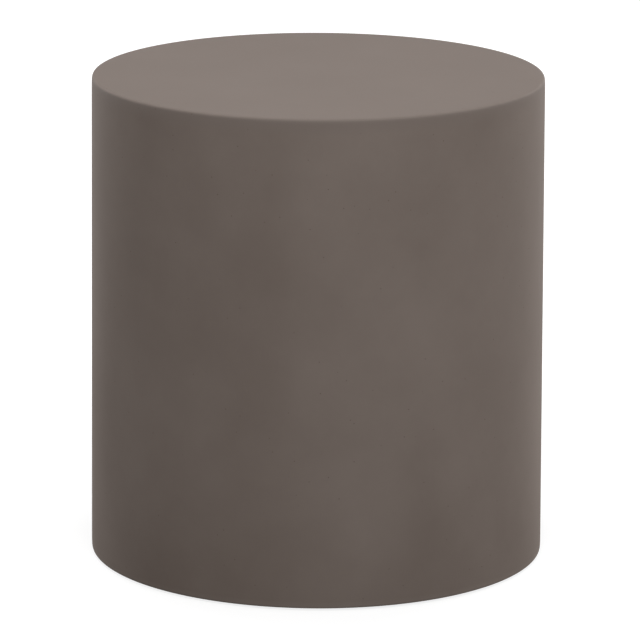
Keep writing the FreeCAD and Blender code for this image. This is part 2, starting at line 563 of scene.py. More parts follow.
@dataclass(frozen=True)
class ZincPlatedSteel:
    """Machined steel with bright zinc plating: cool grey, slightly uneven, satin rather than mirror."""

    light_hex: str = "#C9CDCF"
    shade_hex: str = "#A2A8AE"
    bright_roughness: float = 0.24
    dull_roughness: float = 0.42
    relief: Relief = Relief(depth_mm=0.02, strength=0.12)
    bloom_mm: float = 3.0  # patches where the plating is thicker
    spangle_mm: float = 0.8

    def make(self) -> bpy.types.Material:
        """Builds the material.

        Returns:
            The finished material.
        """
        material, tree = new_material("zinc_plated_steel")
        place = add_node(tree, "Attribute", attribute_name=LATHE).outputs["Vector"]
        bloom = add_node(tree, "TexNoise", {"Vector": place, "Scale": per_mm(self.bloom_mm), "Detail": 4.0})
        spangle = add_node(tree, "TexVoronoi", {"Vector": place, "Scale": per_mm(self.spangle_mm)})
        colour = add_node(
            tree,
            "Mix",
            {0: bloom.outputs["Fac"], 6: linear(self.light_hex), 7: linear(self.shade_hex)},
            data_type="RGBA",
        )
        satin = add_node(
            tree,
            "MapRange",
            {
                "Value": bloom.outputs["Fac"],
                "From Min": NOISE_LOW,
                "From Max": NOISE_HIGH,
                "To Min": self.bright_roughness,
                "To Max": self.dull_roughness,
            },
        )
        looks = {"Base Color": colour.outputs[2], "Metallic": 1.0, "Roughness": satin.outputs[0]}
        close_surface(tree, self.relief, spangle.outputs["Distance"], looks)
        return material


@dataclass(frozen=True)
class MouldedNylon:
    """Black nylon from a spark-eroded mould: near black, with a fine even pebble that breaks up its gloss."""

    body_hex: str = "#1B1B1D"
    rubbed_hex: str = "#2A2A2C"
    roughness: float = 0.46
    rubbed_dulling: float = 0.15  # how much rougher a scuff is
    refraction: float = 1.53
    relief: Relief = Relief(depth_mm=0.05, strength=0.35)
    pebble_mm: float = 0.6  # spark texture, drawn coarser than real so that it shows
    scuff_mm: float = 6.0
    scuff_start: float = 0.5  # noise value at which a scuff shows
    scuff_full: float = 0.75

    def make(self) -> bpy.types.Material:
        """Builds the material.

        Returns:
            The finished material.
        """
        material, tree = new_material("moulded_black_nylon")
        place = add_node(tree, "Attribute", attribute_name=LATHE).outputs["Vector"]
        pebble = add_node(tree, "TexNoise", {"Vector": place, "Scale": per_mm(self.pebble_mm), "Detail": 2.0})
        scuff = add_node(tree, "TexNoise", {"Vector": place, "Scale": per_mm(self.scuff_mm), "Detail": 5.0})
        rubbed = add_node(
            tree,
            "MapRange",
            {"Value": scuff.outputs["Fac"], "From Min": self.scuff_start, "From Max": self.scuff_full},
        )
        colour = add_node(
            tree,
            "Mix",
            {0: rubbed.outputs[0], 6: linear(self.body_hex), 7: linear(self.rubbed_hex)},
            data_type="RGBA",
        )
        gloss = add_node(
            tree,
            "MapRange",
            {
                "Value": rubbed.outputs[0],
                "To Min": self.roughness,
                "To Max": self.roughness + self.rubbed_dulling,
            },
        )
        looks = {"Base Color": colour.outputs[2], "Roughness": gloss.outputs[0], "IOR": self.refraction}
        close_surface(tree, self.relief, pebble.outputs["Fac"], looks)
        return material


@dataclass(frozen=True)
class SoleRubber:
    """Pressed nitrile rubber: dull black-brown, greyed by floor dust where it is worn."""

    body_hex: str = "#221F1D"
    dust_hex: str = "#46423E"
    roughness: float = 0.88
    specular_level: float = 0.3
    relief: Relief = Relief(depth_mm=0.08, strength=0.4)
    dust_mm: float = 7.0
    dust_start: float = 0.4  # noise value at which dust shows
    dust_full: float = 0.75
    grain_mm: float = 0.5

    def make(self) -> bpy.types.Material:
        """Builds the material.

        Returns:
            The finished material.
        """
        material, tree = new_material("pressed_nitrile_rubber")
        place = add_node(tree, "Attribute", attribute_name=LATHE).outputs["Vector"]
        dust = add_node(tree, "TexNoise", {"Vector": place, "Scale": per_mm(self.dust_mm), "Detail": 6.0})
        grain = add_node(tree, "TexNoise", {"Vector": place, "Scale": per_mm(self.grain_mm), "Detail": 2.0})
        greyed = add_node(
            tree,
            "MapRange",
            {"Value": dust.outputs["Fac"], "From Min": self.dust_start, "From Max": self.dust_full},
        )
        colour = add_node(
            tree,
            "Mix",
            {0: greyed.outputs[0], 6: linear(self.body_hex), 7: linear(self.dust_hex)},
            data_type="RGBA",
        )
        looks = {
            "Base Color": colour.outputs[2],
            "Roughness": self.roughness,
            "Specular IOR Level": self.specular_level,
        }
        close_surface(tree, self.relief, grain.outputs["Fac"], looks)
        return material


# Bench tools


def clear_bench() -> None:
    """Leaves edit mode and deselects everything, so that an operator acts on the next primitive alone."""
    if bpy.context.mode != "OBJECT":
        bpy.ops.object.mode_set(mode="OBJECT")
    bpy.ops.object.select_all(action="DESELECT")


class Workpiece:
    """A mesh on the bench, shaped by edit-mode tools that act on what is picked by its place."""

    def __init__(self, name: str) -> None:
        """Takes up the primitive that was just added, and puts its place into its mesh.

        Args:
            name: the piece's name in the scene.
        """
        self.obj = bpy.context.object
        self.obj.name = name
        self.obj.data.name = name
        bpy.ops.object.transform_apply(location=True, rotation=True, scale=True)
        self.edit()

    def edit(self) -> None:
        """Opens the piece in edit mode."""
        bpy.context.view_layer.objects.active = self.obj
        bpy.ops.object.mode_set(mode="EDIT")

    def leave(self) -> None:
        """Closes edit mode, with the piece alone selected."""
        clear_bench()
        self.obj.select_set(True)
        bpy.context.view_layer.objects.active = self.obj

    def pick(self, kind: Element, test: Callable[[Any], bool]) -> None:
        """Selects the elements that pass a test, and nothing else.

        Args:
            kind: what to pick.
            test: takes a vertex, edge or face and says whether it is wanted.
        """
        bpy.ops.mesh.select_mode(type=kind.value)
        bpy.ops.mesh.select_all(action="DESELECT")
        mesh = bmesh.from_edit_mesh(self.obj.data)
        mesh.normal_update()
        every = {Element.VERTEX: mesh.verts, Element.EDGE: mesh.edges, Element.FACE: mesh.faces}[kind]
        chosen = [element for element in every if test(element)]
        for element in chosen:
            element.select_set(True)
        mesh.select_flush_mode()
        bmesh.update_edit_mesh(self.obj.data)

    def pick_all(self) -> None:
        """Selects the whole mesh, point by point."""
        bpy.ops.mesh.select_mode(type=Element.VERTEX.value)
        bpy.ops.mesh.select_all(action="SELECT")

    def weld(self) -> None:
        """Merges doubled points and turns every face outwards."""
        self.pick_all()
        bpy.ops.mesh.remove_doubles(threshold=WELD)
        bpy.ops.mesh.normals_make_consistent(inside=False)

    def modify(self, kind: str, **settings: Any) -> None:
        """Adds a modifier, applies it and opens the piece again.

        Args:
            kind: the modifier's type.
            settings: its properties.
        """
        self.leave()
        modifier = self.obj.modifiers.new(kind.lower(), kind)
        for name, value in settings.items():
            setattr(modifier, name, value)
        bpy.ops.object.modifier_apply(modifier=modifier.name)
        self.edit()

    def combine(self, other: "Workpiece", how: Combine) -> None:
        """Joins, cuts or trims the piece by another one, which is then removed.

        Args:
            other: the second solid, already closed.
            how: what the second solid does to the piece.
        """
        self.modify("BOOLEAN", object=other.obj, operation=how.value, solver="EXACT")
        bpy.data.objects.remove(other.obj)

    def finish(self, smooth_deg: float = 32.0) -> bpy.types.Object:
        """Closes the piece and shades it smooth up to an angle.

        Args:
            smooth_deg: edges that turn more than this stay sharp.

        Returns:
            The piece's object.
        """
        self.weld()
        self.leave()
        bpy.ops.object.shade_smooth_by_angle(angle=math.radians(smooth_deg))
        clear_bench()
        return self.obj


@dataclass(frozen=True)
class Corner:
    """A corner of a half section. Its rounding is the length that it takes from each side."""

    radius: float
    height: float
    rounding: float = 0.0

    @property
    def point(self) -> Vector:
        """The corner in the plane of the section."""
        return Vector((self.radius, 0.0, self.height))


def draw_section(name: str, corners: Sequence[Corner], round_segments: int = 4) -> Workpiece:
    """Draws a half section as a chain of edges, by extruding one point from corner to corner.

    Args:
        name: the piece's name.
        corners: the corners in order.
        round_segments: edges in each rounding.

    Returns:
        The chain, open in edit mode.
    """
    clear_bench()
    bpy.ops.mesh.primitive_plane_add()
    piece = Workpiece(name)
    piece.pick_all()
    bpy.ops.mesh.merge(type="CENTER")
    bpy.ops.transform.translate(value=corners[0].point)
    for start, end in pairwise(corners):
        bpy.ops.mesh.extrude_region_move(TRANSFORM_OT_translate={"value": end.point - start.point})
    for corner in corners:
        if corner.rounding:
            piece.pick(Element.VERTEX, lambda vertex: (vertex.co - corner.point).length < WELD)
            bpy.ops.mesh.bevel(offset=corner.rounding, segments=round_segments, affect="VERTICES")
    return piece


def turn_on_lathe(name: str, corners: Sequence[Corner], steps: int = 72) -> Workpiece:
    """Turns a half section round the upright axis.

    Args:
        name: the piece's name.
        corners: the half section, from axis to axis, or a closed ring that ends where it starts.
        steps: faces round the piece.

    Returns:
        The turned piece, open in edit mode.
    """
    piece = draw_section(name, corners)
    piece.pick_all()
    bpy.ops.mesh.spin(steps=steps, angle=math.tau, use_auto_merge=True, center=(0, 0, 0), axis=(0, 0, 1))
    piece.weld()
    return piece


# Casting


def reach(point: Vector) -> float:
    """How far a point lies from the drum's axis."""
    return math.hypot(point.x, point.y)


@dataclass(frozen=True)
class LugStation:
    """A cross-section of a lug's cage, between the wall and the nose."""

    radius: float  # from the drum's axis
    half_width: float


@dataclass
class CastDrum:
    """The concrete casting: deck, wall, cove, rim, and the lugs that the sockets are cast into."""

    low: Vector
    high: Vector
    lug_bottom: float  # height of the lugs' flat undersides
    foot_radius: float  # from the drum's axis to a foot's axis
    feet: int
    columns: int = 32  # faces round the wall before it is smoothed
    smoothing: int = 3
    draft_deg: float = 0.3
    rim_wall: float = 15 * MM
    shoulder_wall: float = 18 * MM
    deck: float = 22 * MM
    top_arris: float = 2.6 * MM
    rim_arris: float = 2.0 * MM
    rim_inner_arris: float = 2.6 * MM
    arris_segments: int = 2
    edge_support: float = 16 * MM  # first row beside an arris, which keeps the arris crisp
    cove_support: float = 42 * MM  # first row beside the inside corner, which sets the cove's size
    wall_rows: int = 5
    ring_count: int = 3  # rings on the deck between its edge and its middle
    ring_stop: float = 60 * MM  # radius of the middle patch
    lug_rise: float = 91 * MM  # height of a lug's root on the wall, from which its top slopes at 45 degrees
    lug_stations: tuple[LugStation, ...] = (
        LugStation(194 * MM, 21 * MM),  # end of the flare into the wall
        LugStation(186 * MM, 19.2 * MM),
        LugStation(168 * MM, 19.5 * MM),
        LugStation(148.5 * MM, 15.5 * MM),  # nose
    )
    lug_nose_round: float = 7.5 * MM  # how far the nose's sides stand back
    pocket_gap: float = 0.05 * MM  # between a socket and the concrete round it
    roller_lump: float = 18 * MM  # size of the lumps that the roller leaves inside
    roller_lump_height: float = 1.4 * MM
    roller_ramp: float = 20 * MM  # the lumps fade out over this height above the lugs' undersides
    bubble_radii: tuple[float, ...] = (0.25 * MM, 0.35 * MM, 0.5 * MM)
    bubble_segments: int = 2
    bubble_side: float = 1 / 3  # width of a bubble's sloping side, as a share of its radius
    bubble_share: float = 0.0008  # of the sealed face's points, for each size of bubble
    bubble_margin: float = 12 * MM  # no bubble lies closer than this to an arris
    bubble_seed: int = 7

    @property
    def swell(self) -> float:
        """How much larger the cage is than the round that it smooths to."""
        return 3 / (2 + math.cos(math.tau / self.columns))

    @property
    def rim_radius(self) -> float:
        """Outside radius at the rim."""
        return (self.high.x - self.low.x) / 2

    def outside(self, height: float) -> float:
        """Outside radius of the drafted wall at a height."""
        return self.rim_radius - (height - self.low.z) * math.tan(math.radians(self.draft_deg))

    def is_back(self, point: Vector) -> bool:
        """Whether a point belongs to the inside, which no mould touched."""
        wall_middle = self.outside(point.z) - self.rim_wall / 2
        return reach(point) < wall_middle and point.z < self.high.z - self.deck / 2

    def build(self, pocket: Callable[[float], Workpiece]) -> bpy.types.Object:
        """Models the casting.

        Args:
            pocket: makes the space of one socket about the upright axis, given the gap round the socket.

        Returns:
            The finished object.
        """
        cage = self.blank()
        self.hollow_out(cage)
        self.add_rows(cage)
        turns = [math.tau * index / self.feet for index in range(self.feet)]
        for turn in turns:
            self.draw_lug(cage, turn)
        self.ease_arrises(cage)
        self.keep_lugs_flat(cage)
        cage.modify("SUBSURF", levels=self.smoothing, render_levels=self.smoothing)
        self.roll_back(cage)
        self.leave_bubbles(cage)
        for turn in turns:
            cutter = pocket(self.pocket_gap)
            cutter.pick_all()
            seat = (self.foot_radius * math.cos(turn), self.foot_radius * math.sin(turn), 0)
            bpy.ops.transform.translate(value=seat)
            cage.combine(cutter, Combine.CUT)
        return cage.finish()

    def blank(self) -> Workpiece:
        """Makes the drum's outside: a drafted cylinder with rings on its deck.

        Returns:
            The cage, open in edit mode.
        """
        clear_bench()
        bpy.ops.mesh.primitive_cylinder_add(
            vertices=self.columns,
            radius=self.rim_radius * self.swell,
            depth=self.high.z - self.low.z,
            location=(0, 0, (self.high.z + self.low.z) / 2),
        )
        cage = Workpiece("cast_drum")
        cage.pick(Element.FACE, lambda face: face.normal.z > LEVEL)
        narrowing = self.outside(self.high.z) / self.rim_radius
        bpy.ops.transform.resize(value=(narrowing, narrowing, 1))
        self.lay_rings(cage, self.outside(self.high.z), self.edge_support)
        return cage

    def lay_rings(self, cage: Workpiece, radius: float, first: float) -> None:
        """Insets rings into the round face that is picked, and fills its middle with a grid.

        Args:
            cage: the drum's cage.
            radius: the face's radius.
            first: width of the outermost ring.
        """
        bpy.ops.mesh.inset(thickness=first)
        step = (radius - first - self.ring_stop) / self.ring_count
        for _ in range(self.ring_count):
            bpy.ops.mesh.inset(thickness=step)
        bpy.ops.mesh.delete(type="ONLY_FACE")
        cage.pick(Element.EDGE, lambda edge: edge.is_boundary)
        bpy.ops.mesh.fill_grid(span=self.columns // 4)

    def hollow_out(self, cage: Workpiece) -> None:
        """Opens the drum from below, up to the underside of its deck.

        Args:
            cage: the drum's cage, still solid.
        """
        cage.pick(Element.FACE, lambda face: face.normal.z < -LEVEL)
        bpy.ops.mesh.inset(thickness=self.rim_wall * self.swell)
        underside = self.high.z - self.deck
        rise = {"value": (0, 0, underside - self.low.z)}
        bpy.ops.mesh.extrude_region_move(TRANSFORM_OT_translate=rise)
        shoulder = self.outside(underside) - self.shoulder_wall
        narrowing = shoulder / (self.rim_radius - self.rim_wall)
        bpy.ops.transform.resize(value=(narrowing, narrowing, 1))
        self.lay_rings(cage, shoulder, self.cove_support)

    def add_rows(self, cage: Workpiece) -> None:
        """Cuts rows into the outside and inside of the wall, level by level.

        Args:
            cage: the drum's cage, hollowed out.
        """
        first = self.low.z + self.edge_support
        last = self.high.z - self.edge_support
        outside_rows = [first + (last - first) * row / self.wall_rows for row in range(self.wall_rows + 1)]
        lug_top = self.lug_bottom + self.lug_rise
        cove_row = self.high.z - self.deck - self.cove_support
        inside_rows = [self.lug_bottom, self.lug_bottom + self.lug_rise / 2]
        spare = self.wall_rows - 1
        inside_rows += [lug_top + (cove_row - lug_top) * row / spare for row in range(spare + 1)]

        def outward(face: bmesh.types.BMFace) -> float:
            """How squarely a face looks away from the drum's axis, from 1 down to -1."""
            return face.normal.dot(face.calc_center_median().xy.to_3d().normalized())

        for side, rows in ((1, outside_rows), (-1, inside_rows)):
            for height in rows:
                cage.pick(Element.FACE, lambda face: side * outward(face) > FACING)
                bpy.ops.mesh.bisect(plane_co=(0, 0, height), plane_no=(0, 0, 1))

    def draw_lug(self, cage: Workpiece, turn: float) -> None:
        """Draws one lug out of the inner wall, station by station, and rounds its nose.

        Args:
            cage: the drum's cage, with its rows cut.
            turn: the lug's direction from the drum's axis, in radians.
        """
        # The feet lie out along X and Y, so a lug's section can be squeezed along one axis.
        outward = Vector((round(math.cos(turn)), round(math.sin(turn)), 0))
        across = Vector((-outward.y, outward.x, 0))
        lug_top = self.lug_bottom + self.lug_rise
        inner = self.rim_radius - self.rim_wall
        column = math.tau / self.columns

        def on_root(face: bmesh.types.BMFace) -> bool:
            """Tells the faces of the inner wall that the lug grows from.

            Args:
                face: a face of the cage.

            Returns:
                Whether it is one of them.
            """
            middle = face.calc_center_median()
            swing = math.remainder(math.atan2(middle.y, middle.x) - turn, math.tau)
            inside = reach(middle) < self.rim_radius - self.rim_wall / 2
            faces_in = inside and face.normal.dot(outward) < -FACING
            return faces_in and abs(swing) < column and self.lug_bottom < middle.z < lug_top

        cage.pick(Element.FACE, on_root)
        last = LugStation(inner * self.swell, inner * self.swell * math.sin(column))
        last_height = self.lug_rise
        for station in self.lug_stations:
            pull = {"value": outward * (station.radius - last.radius)}
            bpy.ops.mesh.extrude_region_move(TRANSFORM_OT_translate=pull)
            height = self.lug_rise - (inner - station.radius)
            # Nothing is left of the root's curve: the section is flattened along the lug.
            squeeze = Vector(abs(c) * station.half_width / last.half_width for c in across)
            squeeze.z = height / last_height
            pivot = outward * station.radius + Vector((0, 0, self.lug_bottom))
            bpy.ops.transform.resize(value=squeeze, center_override=pivot)
            last, last_height = station, height
        cage.pick(
            Element.VERTEX,
            lambda vertex: abs(vertex.co.dot(outward) - last.radius) < WELD
            and abs(abs(vertex.co.dot(across)) - last.half_width) < NEAR,
        )
        bpy.ops.transform.translate(value=outward * self.lug_nose_round)

    def ease_arrises(self, cage: Workpiece) -> None:
        """Rounds the deck's edge and both edges of the rim.

        Args:
            cage: the drum's cage, with its lugs.
        """
        inner = (self.rim_radius - self.rim_wall) * self.swell
        outer = self.rim_radius * self.swell
        top = self.outside(self.high.z) * self.swell
        rings = (
            (top, self.high.z, self.top_arris),
            (outer, self.low.z, self.rim_arris),
            (inner, self.low.z, self.rim_inner_arris),
        )
        for radius, height, size in rings:
            cage.pick(
                Element.EDGE,
                lambda edge: all(
                    abs(end.co.z - height) < WELD and abs(reach(end.co) - radius) < NEAR for end in edge.verts
                ),
            )
            bpy.ops.mesh.bevel(offset=size, segments=self.arris_segments, affect="EDGES")

    def keep_lugs_flat(self, cage: Workpiece) -> None:
        """Creases the outlines of the lugs' undersides, so that smoothing leaves them flat.

        Args:
            cage: the drum's cage, with its lugs.
        """
        cage.pick(
            Element.FACE,
            lambda face: face.normal.z < -LEVEL
            and abs(face.calc_center_median().z - self.lug_bottom) < NEAR,
        )
        bpy.ops.mesh.region_to_loop()
        bpy.ops.transform.edge_crease(value=1.0)

    def roll_back(self, cage: Workpiece) -> None:
        """Gives the inside the low lumps of a hand roller, and leaves the lugs' seats and the rim flat.

        Args:
            cage: the casting, smoothed.
        """
        cage.leave()
        group = cage.obj.vertex_groups.new(name="rolled_back")
        for vertex in cage.obj.data.vertices:
            if self.is_back(vertex.co):
                share = (vertex.co.z - self.lug_bottom) / self.roller_ramp
                group.add([vertex.index], min(max(share, 0.0), 1.0), "REPLACE")
        lumps = bpy.data.textures.new("roller_lumps", "CLOUDS")
        lumps.noise_scale = self.roller_lump
        cage.modify(
            "DISPLACE",
            texture=lumps,
            texture_coords="LOCAL",
            strength=self.roller_lump_height,
            mid_level=0.5,
            vertex_group=group.name,
        )
        bpy.data.textures.remove(lumps)

    def leave_bubbles(self, cage: Workpiece) -> None:
        """Sinks a few small air bubbles into the sealed face, away from the arrises.

        Args:
            cage: the casting, smoothed.
        """
        chance = random.Random(self.bubble_seed)
        lowest = self.low.z + self.bubble_margin
        highest = self.high.z - self.bubble_margin
        widest = self.outside(self.high.z) - self.bubble_margin

        def holds_bubble(vertex: bmesh.types.BMVert) -> bool:
            """Draws lots for a point of the sealed face.

            Args:
                vertex: a point of the casting.

            Returns:
                Whether a bubble comes to lie there.
            """
            drawn = chance.random() < self.bubble_share
            on_wall = lowest < vertex.co.z < highest
            on_deck = vertex.co.z > highest and reach(vertex.co) < widest
            return drawn and (on_wall or on_deck) and not self.is_back(vertex.co)

        for radius in self.bubble_radii:
            cage.pick(Element.VERTEX, holds_bubble)
            bpy.ops.mesh.bevel(offset=radius, segments=self.bubble_segments, affect="VERTICES")
            bpy.ops.mesh.inset(thickness=radius * self.bubble_side, depth=-radius)

    def dress(self, obj: bpy.types.Object) -> None:
        """Gives the casting its two finishes: sealed outside, raw inside.

        Args:
            obj: the finished casting.
        """
        obj.data.materials.append(SealedCastConcrete(self.high.z, self.low.z).make())
        obj.data.materials.append(RawCastConcrete().make())
        for face in obj.data.polygons:
            face.material_index = (CastFace.RAW if self.is_back(face.center) else CastFace.SEALED).value
        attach(obj, "drum")
        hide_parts("drum_shell")


# Levelling feet


@dataclass(frozen=True)
class RoundNode:
    """Where a node that is round about its own upright axis stands."""

    axis: Vector
    radius: float
    bottom: float
    top: float

    @classmethod
    def of(cls, node: str) -> "RoundNode":
        """Measures a node of the frame that lies out along X.

        Args:
            node: the node's name.

        Returns:
            Its axis, its half width across the axis, and its heights.
        """
        low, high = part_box(node)
        axis = Vector(((low.x + high.x) / 2, (low.y + high.y) / 2, 0))
        return cls(axis, (high.y - low.y) / 2, low.z, high.z)


@dataclass
class LevellingFoot:
    """A levelling foot and its socket: each piece is modelled once, then set out round the rim."""

    socket: RoundNode
    stud: RoundNode
    base: RoundNode
    sole: RoundNode
    feet: int
    thread_radius: float = 3.95 * MM
    pitch: float = 1.25 * MM
    thread_depth_share: float = 0.6134  # of the pitch
    thread_steps: int = 32
    stop_gap: float = 0.3 * MM  # from the hex collar to the socket
    hex_height: float = 5 * MM
    hex_chamfer: float = 0.9 * MM
    hex_chamfer_drop: float = 0.52 * MM
    tip_chamfer: float = 1.1 * MM
    neck_radius: float = 3.9 * MM
    neck_reach: float = 0.6  # how far the neck goes up into the collar, as a share of the collar's height
    head_radius: float = 6.2 * MM
    head_thickness: float = 2.5 * MM
    head_rounding: float = 0.7 * MM
    flange_thickness: float = 1.6 * MM
    socket_body_radius: float = 6.5 * MM
    anchor_radius: float = 8.5 * MM  # of the collar that keeps the socket in the concrete
    anchor_height: float = 4 * MM
    bore_radius: float = 4.1 * MM
    end_wall: float = 3 * MM  # closes the bore
    mouth_chamfer: float = 0.8 * MM
    break_edge: float = 0.25 * MM  # sharp edges of turned pieces are broken by this much
    hub_radius: float = 9.5 * MM
    hub_rounding: float = 1.0 * MM
    hub_thickness: float = 5 * MM
    base_edge_height: float = 4 * MM
    base_rounding: float = 1.6 * MM
    base_lip_width: float = 2 * MM  # round the recess for the sole
    base_lip_rounding: float = 0.6 * MM
    turn_gap: float = 0.2 * MM  # between the stud and the base that it turns in
    groove_count: int = 4
    groove_width: float = 1.1 * MM
    groove_depth: float = 0.7 * MM
    sole_rounding: float = 0.5 * MM

    @property
    def hex_bottom(self) -> float:
        """Height of the hex collar's lower face."""
        return self.socket.bottom - self.stop_gap - self.hex_height

    def socket_outline(self) -> list[Corner]:
        """Draws the socket's outside, from its closed end down to its flange.

        Returns:
            The corners of its half section.
        """
        shoulder = self.socket.bottom + self.flange_thickness
        return [
            Corner(0.0, self.socket.top),
            Corner(self.anchor_radius, self.socket.top, self.break_edge),
            Corner(self.anchor_radius, self.socket.top - self.anchor_height, self.break_edge),
            Corner(self.socket_body_radius, self.socket.top - self.anchor_height),
            Corner(self.socket_body_radius, shoulder),
            Corner(self.socket.radius, shoulder),
            Corner(self.socket.radius, self.socket.bottom, self.break_edge),
        ]

    def turn_socket(self) -> bpy.types.Object:
        """Turns the brass socket with its bore.

        Returns:
            The socket about the origin's axis.
        """
        bore_end = self.socket.top - self.end_wall
        inside = [
            Corner(self.bore_radius + self.mouth_chamfer, self.socket.bottom),
            Corner(self.bore_radius, self.socket.bottom + self.mouth_chamfer),
            Corner(self.bore_radius, bore_end),
            Corner(0.0, bore_end),
        ]
        return turn_on_lathe("socket_model", self.socket_outline() + inside).finish()

    def pocket_cutter(self, clearance: float) -> Workpiece:
        """Makes the space that a socket takes up in its lug.

        Args:
            clearance: how much wider than the socket the space is.

        Returns:
            The closed cutter, open in edit mode.
        """
        outline = [
            replace(corner, radius=corner.radius + clearance) if corner.radius else corner
            for corner in self.socket_outline()
        ]
        below = outline[-1].height - self.flange_thickness
        outline[-1] = Corner(outline[-1].radius, below)
        return turn_on_lathe("pocket_cutter", [*outline, Corner(0.0, below)])

    def cut_stud(self) -> bpy.types.Object:
        """Makes the stud: threaded stem, hex collar, and the neck with its riveted head.

        Returns:
            The stud about the origin's axis.
        """
        stem = self.cut_thread()
        stem.combine(self.cut_collar(), Combine.JOIN)
        stem.combine(self.turn_neck(), Combine.JOIN)
        return stem.finish()

    def cut_thread(self) -> Workpiece:
        """Winds one tooth of the thread up the stem, then trims both ends.

        Returns:
            The stem, open in edit mode.
        """
        start = self.hex_bottom + self.hex_height / 2
        root = self.thread_radius - self.thread_depth_share * self.pitch
        # A metric thread's crest is an eighth of its pitch wide, and its root a quarter.
        crest_flat = self.pitch / 8
        root_flat = self.pitch / 4
        flank = (self.pitch - crest_flat - root_flat) / 2
        heights = [0.0, root_flat, root_flat + flank, root_flat + flank + crest_flat, self.pitch]
        radii = [root, root, self.thread_radius, self.thread_radius, root]
        foot = start - self.pitch
        stem = draw_section("stud_model", [Corner(r, foot + h) for r, h in zip(radii, heights)])
        stem.modify(
            "SCREW",
            axis="Z",
            angle=math.tau,
            screw_offset=self.pitch,
            iterations=math.ceil((self.stud.top - foot) / self.pitch) + 1,
            steps=self.thread_steps,
            render_steps=self.thread_steps,
            use_merge_vertices=True,
            merge_threshold=WELD,
        )
        stem.weld()
        stem.pick_all()
        bpy.ops.mesh.bisect(plane_co=(0, 0, start), plane_no=(0, 0, 1), use_fill=True, clear_inner=True)
        stem.pick_all()
        spare_end = self.stud.top + self.break_edge
        bpy.ops.mesh.bisect(plane_co=(0, 0, spare_end), plane_no=(0, 0, 1), use_fill=True, clear_outer=True)
        wide = self.thread_radius + OVERRUN
        trim = [
            Corner(0.0, start - OVERRUN),
            Corner(wide, start - OVERRUN),
            Corner(wide, self.stud.top - self.tip_chamfer - (wide - self.thread_radius)),
            Corner(self.thread_radius - self.tip_chamfer, self.stud.top),
            Corner(0.0, self.stud.top),
        ]
        stem.combine(turn_on_lathe("tip_trim", trim), Combine.TRIM)
        return stem

    def cut_collar(self) -> Workpiece:
        """Makes the hex collar, with its corners chamfered above and below.

        Returns:
            The collar, open in edit mode.
        """
        half_face = math.pi / 6
        corner = self.stud.radius / math.cos(half_face)
        middle = self.hex_bottom + self.hex_height / 2
        top = self.hex_bottom + self.hex_height
        clear_bench()
        bpy.ops.mesh.primitive_cylinder_add(
            vertices=6,
            radius=corner,
            depth=self.hex_height,
            location=(0, 0, middle),
            rotation=(0, 0, half_face),
        )
        collar = Workpiece("collar")
        trim = [
            Corner(0.0, self.hex_bottom),
            Corner(corner - self.hex_chamfer, self.hex_bottom),
            Corner(corner, self.hex_bottom + self.hex_chamfer_drop),
            Corner(corner, top - self.hex_chamfer_drop),
            Corner(corner - self.hex_chamfer, top),
            Corner(0.0, top),
        ]
        collar.combine(turn_on_lathe("collar_trim", trim), Combine.TRIM)
        return collar

    def turn_neck(self) -> Workpiece:
        """Turns the plain neck below the collar and the head that is riveted over inside the base.

        Returns:
            The neck, open in edit mode.
        """
        head_top = self.stud.bottom + self.head_thickness
        inside_collar = self.hex_bottom + self.hex_height * self.neck_reach
        section = [
            Corner(0.0, self.stud.bottom),
            Corner(self.head_radius, self.stud.bottom, self.head_rounding),
            Corner(self.head_radius, head_top, self.break_edge),
            Corner(self.neck_radius, head_top),
            Corner(self.neck_radius, inside_collar),
            Corner(0.0, inside_collar),
        ]
        return turn_on_lathe("neck", section)

    def turn_base(self) -> bpy.types.Object:
        """Makes the moulded base: a coned skirt round a hub, with a recess below for the sole.

        Returns:
            The base about the origin's axis.
        """
        hole = self.neck_radius + self.turn_gap
        counterbore = self.head_radius + self.turn_gap
        hub_bottom = self.base.top - self.hub_thickness
        recess = self.base.radius - self.base_lip_width
        section = [
            Corner(hole, self.base.top),
            Corner(self.hub_radius, self.base.top, self.hub_rounding),
            Corner(self.base.radius, self.base.bottom + self.base_edge_height, self.base_rounding),
            Corner(self.base.radius, self.base.bottom, self.base_lip_rounding),
            Corner(recess, self.base.bottom, self.break_edge),
            Corner(recess, self.sole.top),
            Corner(counterbore, self.sole.top),
            Corner(counterbore, hub_bottom),
            Corner(hole, hub_bottom),
            Corner(hole, self.base.top),
        ]
        return turn_on_lathe("base_model", section).finish()

    def press_sole(self) -> bpy.types.Object:
        """Makes the rubber sole, with ring grooves in its tread.

        Returns:
            The sole about the origin's axis.
        """
        tread = [Corner(0.0, self.sole.bottom)]
        spacing = self.sole.radius / (self.groove_count + 1)
        deep = self.sole.bottom + self.groove_depth
        for ring in range(1, self.groove_count + 1):
            near = ring * spacing - self.groove_width / 2
            far = near + self.groove_width
            tread += [Corner(near, self.sole.bottom, self.break_edge), Corner(near, deep)]
            tread += [Corner(far, deep), Corner(far, self.sole.bottom, self.break_edge)]
        edge = [
            Corner(self.sole.radius, self.sole.bottom, self.sole_rounding),
            Corner(self.sole.radius, self.sole.top),
            Corner(0.0, self.sole.top),
        ]
        return turn_on_lathe("sole_model", tread + edge).finish()

